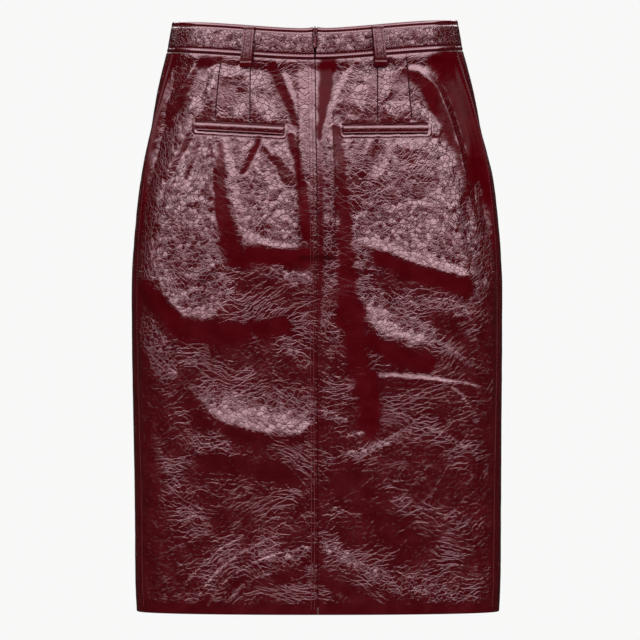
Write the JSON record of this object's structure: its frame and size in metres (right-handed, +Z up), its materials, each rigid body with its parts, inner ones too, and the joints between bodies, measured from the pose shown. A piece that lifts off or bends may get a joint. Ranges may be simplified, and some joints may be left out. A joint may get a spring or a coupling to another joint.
{
  "type": "leather pencil skirt",
  "caption": "Knee-length glossy leather pencil skirt, hollow as worn, with waistband, belt loops, back welt pockets and a back zip with a hinged pull tab.",
  "frame": {"origin": "middle of the waistband at mid-height, on the skirt's upright axis, where a wearer's waist holds it", "axes": "+Z up, the back of the skirt with its zip faces -Y, +X is to the right of someone who looks at the back"},
  "size_m": [0.3827, 0.2259, 0.6113],
  "materials": {
    "panel_leather": "glossy crinkled burgundy leather",
    "trim_leather": "glossy burgundy leather, smoother than the panels",
    "zip_tape": "woven zip tape, matt dark burgundy",
    "zip_metal": "zip slider and pull lacquered dark burgundy, glossy"
  },
  "bodies": {
    "skirt": {"back_left_panel": "panel_leather", "back_right_panel": "panel_leather", "front_panel": "panel_leather", "waistband_back_left": "trim_leather", "waistband_back_right": "trim_leather", "waistband_front": "trim_leather", "belt_loop_back_left": "trim_leather", "belt_loop_back_right": "trim_leather", "belt_loop_front_left": "trim_leather", "belt_loop_front_right": "trim_leather", "pocket_welt_left": "trim_leather", "pocket_welt_right": "trim_leather", "zip_tape": "zip_tape", "zip_slider": "zip_metal"},
    "pull_tab": {"zip_pull": "zip_metal"}
  },
  "joints": [
    {"name": "pull_tab_hinge", "type": "hinge", "parent": "skirt", "child": "pull_tab", "pos_m": [-0.00202, -0.0976, 0.00562], "axis": [-1, 0, 0], "range_deg": [0, 145]}
  ]
}
